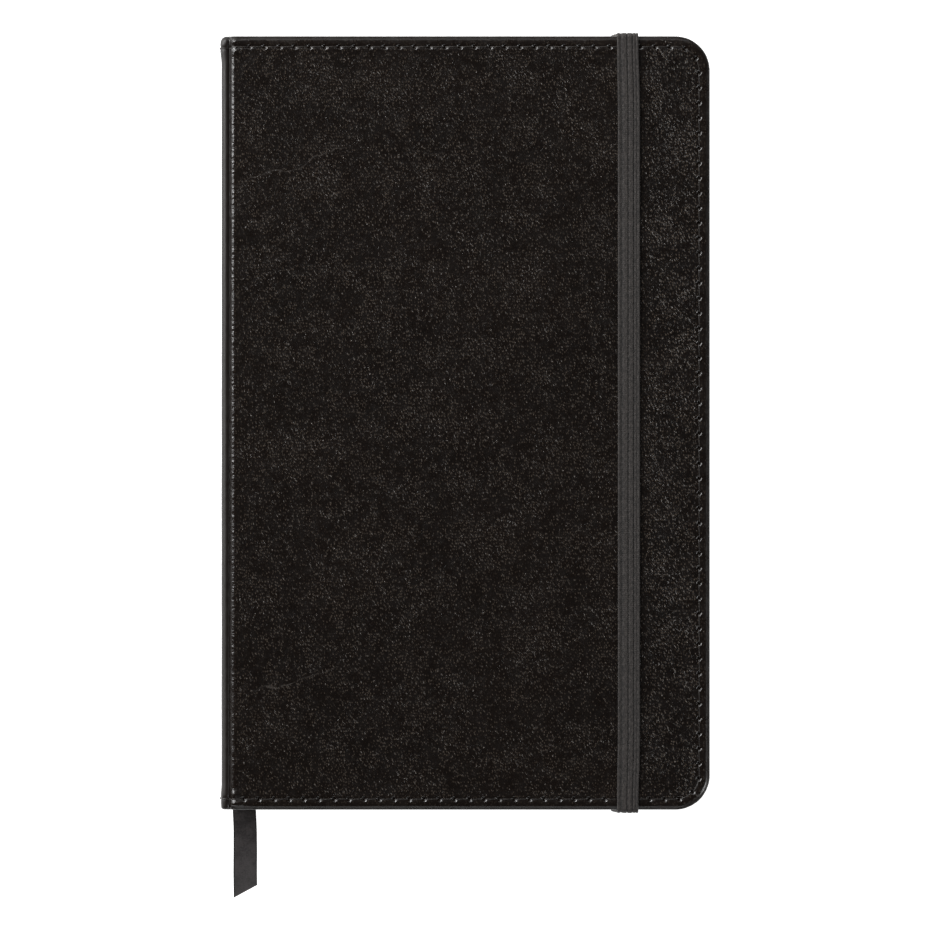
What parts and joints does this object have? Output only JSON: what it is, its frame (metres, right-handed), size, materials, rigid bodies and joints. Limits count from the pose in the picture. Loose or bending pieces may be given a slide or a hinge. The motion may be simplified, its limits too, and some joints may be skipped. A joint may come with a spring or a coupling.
{
  "type": "pocket notebook",
  "caption": "Closed pocket notebook: stitched leather over boards, sewn block, ribbon marker, elastic closure; the front cover and first leaves turn open.",
  "frame": {"origin": "middle of the back cover's outer face, on which the notebook lies", "axes": "+X from the spine to the fore edge, +Y from the tail to the head, +Z from the back cover to the front cover"},
  "size_m": [0.0885, 0.1568, 0.0158],
  "materials": {
    "leather": "semi-matt near-black brown, fine pebble grain",
    "greyboard": "matt",
    "endpaper": "matt, ivory",
    "paper": "matt, ivory",
    "stitching_thread": "satin waxed thread",
    "sewing_thread": "matt cotton",
    "spine_lining": "open-weave cotton",
    "head_band_cloth": "satin",
    "ribbon": "woven satin",
    "elastic": "ribbed woven elastic"
  },
  "bodies": {
    "book": {"back_cover_leather": "leather", "back_board": "greyboard", "back_cover_stitching": "stitching_thread", "back_pastedown": "endpaper", "back_flyleaf": "endpaper", "spine_leather": "leather", "spine_head_stitch": "stitching_thread", "spine_tail_stitch": "stitching_thread", "spine_card": "greyboard", "spine_lining_cloth": "spine_lining", "head_band": "head_band_cloth", "tail_band": "head_band_cloth", "signature_1": "paper", "signature_2": "paper", "signature_3": "paper", "signature_4": "paper", "signature_5": "paper", "signature_6": "paper", "signature_7": "paper", "signature_8": "paper", "signature_9": "paper", "signature_10": "paper", "signature_11": "paper", "signature_12": "paper", "signature_sewing_thread": "sewing_thread", "ribbon_marker": "ribbon", "elastic_head_end": "elastic", "elastic_tail_end": "elastic"},
    "front_cover": {"front_cover_leather": "leather", "front_board": "greyboard", "front_cover_stitching": "stitching_thread", "front_pastedown": "endpaper"},
    "front_flyleaf": {"front_flyleaf": "endpaper"},
    "leaf_1": {"leaf_1": "paper"},
    "leaf_2": {"leaf_2": "paper"},
    "leaf_3": {"leaf_3": "paper"},
    "leaf_4": {"leaf_4": "paper"},
    "leaf_5": {"leaf_5": "paper"},
    "leaf_6": {"leaf_6": "paper"},
    "elastic_band": {"elastic_band": "elastic"},
    "ribbon_tail": {"ribbon_marker_tail": "ribbon"}
  },
  "joints": [
    {"name": "front_cover_hinge", "type": "hinge", "parent": "book", "child": "front_cover", "pos_m": [-0.0425, 0, 0.015], "axis": [0, -1, 0], "range_deg": [0, 178]},
    {"name": "front_flyleaf_turn", "type": "hinge", "parent": "book", "child": "front_flyleaf", "pos_m": [-0.0425, 0, 0.015], "axis": [0, -1, 0], "range_deg": [0, 176.9]},
    {"name": "leaf_1_turn", "type": "hinge", "parent": "book", "child": "leaf_1", "pos_m": [-0.0425, 0, 0.015], "axis": [0, -1, 0], "range_deg": [0, 175.7]},
    {"name": "leaf_2_turn", "type": "hinge", "parent": "book", "child": "leaf_2", "pos_m": [-0.0425, 0, 0.015], "axis": [0, -1, 0], "range_deg": [0, 174.3]},
    {"name": "leaf_3_turn", "type": "hinge", "parent": "book", "child": "leaf_3", "pos_m": [-0.0425, 0, 0.015], "axis": [0, -1, 0], "range_deg": [0, 172.5]},
    {"name": "leaf_4_turn", "type": "hinge", "parent": "book", "child": "leaf_4", "pos_m": [-0.0425, 0, 0.015], "axis": [0, -1, 0], "range_deg": [0, 170]},
    {"name": "leaf_5_turn", "type": "hinge", "parent": "book", "child": "leaf_5", "pos_m": [-0.0425, 0, 0.015], "axis": [0, -1, 0], "range_deg": [0, 166]},
    {"name": "leaf_6_turn", "type": "hinge", "parent": "book", "child": "leaf_6", "pos_m": [-0.0425, 0, 0.015], "axis": [0, -1, 0], "range_deg": [0, 158.5]},
    {"name": "elastic_release", "type": "hinge", "parent": "book", "child": "elastic_band", "pos_m": [0.0384, 0, 0.00795], "axis": [0, 1, 0], "range_deg": [0, 176], "deforming": ["elastic_band"]},
    {"name": "ribbon_tail_lift", "type": "hinge", "parent": "book", "child": "ribbon_tail", "pos_m": [-0.04175, -0.0675, 0.00713], "axis": [-1, 0, 0], "range_deg": [0, 60]}
  ],
  "couplings": [
    {"joint": "front_flyleaf_turn", "follows": "front_cover_hinge", "ratio": 0.9938},
    {"joint": "leaf_1_turn", "follows": "front_cover_hinge", "ratio": 0.987},
    {"joint": "leaf_2_turn", "follows": "front_cover_hinge", "ratio": 0.9792},
    {"joint": "leaf_3_turn", "follows": "front_cover_hinge", "ratio": 0.9691},
    {"joint": "leaf_4_turn", "follows": "front_cover_hinge", "ratio": 0.955},
    {"joint": "leaf_5_turn", "follows": "front_cover_hinge", "ratio": 0.9325},
    {"joint": "leaf_6_turn", "follows": "front_cover_hinge", "ratio": 0.8904},
    {"joint": "elastic_release", "follows": "front_cover_hinge", "ratio": 0.9887}
  ]
}
